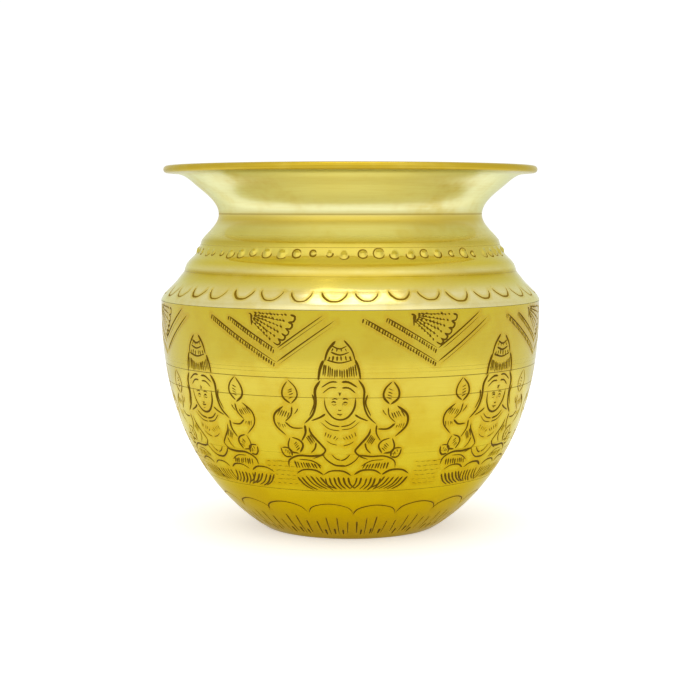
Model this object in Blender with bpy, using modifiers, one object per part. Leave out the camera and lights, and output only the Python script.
"""Brass kalash pot: a round-bellied water pot of thin spun brass with a stepped shoulder, a waisted
neck and a wide flared mouth whose edge is rolled over a wire.

It is built from two spun shells. The lower bowl is the base and the belly. The upper shell is the
shoulder, the neck and the mouth, and its lower edge is set in by one sheet, so that it slips inside
the bowl's lip. A ring of brazing brass runs round the inside of that lap, and a brass wire lies in
the rolled edge of the mouth. Units are metres, +Z is up and the pot stands on z = 0.
"""

import math

import bmesh
import bpy

MM = 0.001

# Driving dimensions
SHEET = 0.6 * MM              # wall of both spun shells
GIRTH_RADIUS = 53.75 * MM     # widest outer radius, at the top of the belly
GIRTH_HEIGHT = 63.5 * MM      # where the belly's curve starts
BELLY_DEPTH = 70.6 * MM       # how far below the girth the belly's curve would close
BELLY_POWER = 2.226           # 2 would be a plain ellipse
BASE_EDGE_HEIGHT = 0.9 * MM   # where the belly's curve meets the rounded edge of the base
REST_RADIUS = 24.3 * MM       # outer radius of the flat ring that the pot stands on
REST_WIDTH = 4.0 * MM
DISH_HEIGHT = 0.8 * MM        # how far the middle of the base is pushed up
DISH_SLOPE = 2.5 * MM         # width of the slope from the rest ring up to the dish
BASE_ROUND_WIDTH = 0.45 * MM  # the rounded edge between the belly and the rest ring
BASE_ROUND_HEIGHT = 0.2 * MM
LIP_HEIGHT = 64.7 * MM        # top of the bowl's lip, just under the shoulder's edge
LAP_GAP = 0.3 * MM            # clearance between the two shells
LAP_BOTTOM = 61.5 * MM        # lower end of the upper shell inside the bowl
LAP_SHOULDER = 0.4 * MM       # how much higher the set-in step lies on the shell's inner side
BRAZE_LEG = 1.4 * MM          # width and height of the brazed fillet under the lap
BEAD_RADIUS = 1.1 * MM        # rolled edge of the mouth, outside
BEAD_CENTRE = (51.8 * MM, 101.4 * MM)
BEAD_OPEN_ANGLE = 195         # degrees; where the rolled sheet ends, just above the flare
WIRE_RADIUS = 0.4 * MM
OUTLINE_SPACING = 2.4 * MM    # length of the facets down the upper shell's outline
TURN_STEPS = 48               # facets round every turned piece

# The upper shell's outer outline from the mouth down: radius, height (both mm) and heading in
# degrees, where 180 points at the axis, 270 down and 360 outwards.
SHOULDER_STATIONS = [
    (51.8, 100.3, 180),       # under the rolled edge
    (48.9, 100.05, 186),      # outer part of the flare, nearly level
    (43.2, 96.5, 220),        # flare
    (37.35, 88.8, 270),       # neck
    (41.3, 82.7, 313),        # first sweep
    (42.5, 81.0, 290),        # upper band
    (43.0, 79.2, 290),
    (45.4, 76.3, 316),        # second sweep
    (46.7, 74.5, 285),        # lower band
    (47.05, 72.8, 285),
    (49.9, 69.5, 315),        # third sweep
    (53.0, 66.3, 313),
    (53.7, 65.1, 275),        # edge of the shoulder
]


def hermite(start, end, spacing):
    """Points of a cubic curve between two (radius, height, heading) stations, without the last."""
    (r0, z0, h0), (r1, z1, h1) = start, end
    chord = math.hypot(r1 - r0, z1 - z0)
    steps = max(2, round(chord * MM / spacing))
    tangent0 = (chord * math.cos(math.radians(h0)), chord * math.sin(math.radians(h0)))
    tangent1 = (chord * math.cos(math.radians(h1)), chord * math.sin(math.radians(h1)))
    points = []
    for i in range(steps):
        t = i / steps
        a, b = 2 * t**3 - 3 * t**2 + 1, t**3 - 2 * t**2 + t
        c, d = -2 * t**3 + 3 * t**2, t**3 - t**2
        points.append((
            (a * r0 + b * tangent0[0] + c * r1 + d * tangent1[0]) * MM,
            (a * z0 + b * tangent0[1] + c * z1 + d * tangent1[1]) * MM,
        ))
    return points


def offset(points, distance):
    """The same line moved to its right by distance, which for a line running down is inwards."""
    moved = []
    for i, (r, z) in enumerate(points):
        before, after = points[max(i - 1, 0)], points[min(i + 1, len(points) - 1)]
        dr, dz = after[0] - before[0], after[1] - before[1]
        length = math.hypot(dr, dz)
        moved.append((r + dz / length * distance, z - dr / length * distance))
    return moved


def arc(centre, radius, start, end, steps):
    """Points on a circle from start to end, in degrees, both included."""
    angles = [math.radians(start + (end - start) * i / steps) for i in range(steps + 1)]
    return [(centre[0] + radius * math.cos(a), centre[1] + radius * math.sin(a)) for a in angles]


def belly_radius(height):
    """Outer radius of the belly at a height: a slightly squared ellipse."""
    drop = max(GIRTH_HEIGHT - height, 0) / BELLY_DEPTH
    return GIRTH_RADIUS * math.sqrt(1 - drop**BELLY_POWER)


def shoulder_outline():
    """The upper shell's outer outline, from under the rolled edge down to the shoulder's edge."""
    points = []
    for start, end in zip(SHOULDER_STATIONS, SHOULDER_STATIONS[1:]):
        points += hermite(start, end, OUTLINE_SPACING)
    r, z, _ = SHOULDER_STATIONS[-1]
    return points + [(r * MM, z * MM)]


def collection(name):
    made = bpy.data.collections.new(name)
    bpy.context.scene.collection.children.link(made)
    return made


def material(name, colour, roughness):
    made = bpy.data.materials.new(name)
    made.use_nodes = True
    shader = made.node_tree.nodes["Principled BSDF"]
    shader.inputs["Base Color"].default_value = (*colour, 1)
    shader.inputs["Metallic"].default_value = 1
    shader.inputs["Roughness"].default_value = roughness
    return made


def turned(name, profile, closed, finish, parts):
    """A profile of (radius, height) points turned about Z with a Screw modifier."""
    shape = bmesh.new()
    corners = [shape.verts.new((r, 0, z)) for r, z in profile]
    following = corners[1:] + corners[:1] if closed else corners[1:]
    for a, b in zip(corners, following):
        shape.edges.new((a, b))
    mesh = bpy.data.meshes.new(name)
    shape.to_mesh(mesh)
    shape.free()
    piece = bpy.data.objects.new(name, mesh)
    parts.objects.link(piece)
    piece.data.materials.append(finish)
    screw = piece.modifiers.new("turn", "SCREW")
    screw.steps = screw.render_steps = TURN_STEPS
    screw.use_merge_vertices = True
    screw.merge_threshold = 0.00001
    screw.use_smooth_shade = True
    return piece


def lower_bowl(finish, parts):
    """Base and belly: the belly's formula down to a rounded edge, a flat rest ring and a dish."""
    belly_steps = 14
    outer = [(belly_radius(LIP_HEIGHT), LIP_HEIGHT)]
    for i in range(belly_steps + 1):
        share = i / belly_steps
        # Closer together towards the base, where the curve is tighter
        drop = (GIRTH_HEIGHT - BASE_EDGE_HEIGHT) * math.sin(share * math.pi / 2)
        outer.append((belly_radius(GIRTH_HEIGHT - drop), GIRTH_HEIGHT - drop))
    dish_radius = REST_RADIUS - REST_WIDTH
    outer += [
        (REST_RADIUS + BASE_ROUND_WIDTH, BASE_ROUND_HEIGHT),
        (REST_RADIUS, 0),
        (dish_radius, 0),
        (dish_radius - DISH_SLOPE, DISH_HEIGHT),
    ]
    inner = offset(outer, SHEET)
    inner[0] = (outer[0][0] - SHEET, LIP_HEIGHT)
    profile = inner[::-1] + outer
    profile = [(0, DISH_HEIGHT + SHEET)] + profile + [(0, DISH_HEIGHT)]
    return turned("lower_bowl", profile, False, finish, parts)


def upper_shell(finish, parts):
    """Shoulder, neck and flared mouth, with the rolled edge above and the set-in lap below."""
    outline = shoulder_outline()
    curl_steps = 9
    outer_curl = arc(BEAD_CENTRE, BEAD_RADIUS, BEAD_OPEN_ANGLE, -90, curl_steps)
    inner_curl = arc(BEAD_CENTRE, BEAD_RADIUS - SHEET, BEAD_OPEN_ANGLE, -90, curl_steps)
    lap_radius = belly_radius(LIP_HEIGHT) - SHEET - LAP_GAP
    step_height = LIP_HEIGHT + LAP_GAP
    outer_lap = [(lap_radius, step_height), (lap_radius, LAP_BOTTOM)]
    inner_lap = [
        (lap_radius - SHEET, step_height + LAP_SHOULDER),
        (lap_radius - SHEET, LAP_BOTTOM),
    ]
    outer = outer_curl + outline[1:-1] + [(outline[-1][0], step_height)] + outer_lap
    inner = inner_curl + offset(outline, SHEET)[1:-2] + inner_lap
    return turned("upper_shell", outer + inner[::-1], True, finish, parts)


def rim_wire(finish, parts):
    """The wire that stiffens the mouth, a plain ring inside the rolled edge."""
    bpy.ops.mesh.primitive_torus_add(
        location=(0, 0, BEAD_CENTRE[1]),
        major_radius=BEAD_CENTRE[0],
        minor_radius=WIRE_RADIUS,
        major_segments=TURN_STEPS,
        minor_segments=8,
    )
    ring = bpy.context.object
    ring.name = ring.data.name = "rim_wire"
    ring.data.materials.append(finish)
    ring.data.shade_smooth()
    for holder in list(ring.users_collection):
        holder.objects.unlink(ring)
    parts.objects.link(ring)
    return ring


def seam_braze(finish, parts):
    """The fillet of brazing brass in the corner between the lap's lower end and the bowl's wall."""
    wall = belly_radius(LAP_BOTTOM) - SHEET - LAP_GAP
    top = LAP_BOTTOM - LAP_GAP
    foot = (wall, top - BRAZE_LEG)
    hollow = (wall - BRAZE_LEG / 2, top - BRAZE_LEG / 2)
    profile = [(wall, top), foot, hollow, (wall - BRAZE_LEG, top)]
    return turned("seam_braze", profile, True, finish, parts)


def build():
    for old in list(bpy.data.objects):
        bpy.data.objects.remove(old)
    parts = collection("brass_kalash_pot")
    brass = material("polished_brass", (0.80, 0.62, 0.16), 0.12)
    wire_brass = material("drawn_brass", (0.72, 0.54, 0.16), 0.3)
    braze_brass = material("brazing_brass", (0.66, 0.52, 0.2), 0.4)
    lower_bowl(brass, parts)
    upper_shell(brass, parts)
    rim_wire(wire_brass, parts)
    seam_braze(braze_brass, parts)


build()
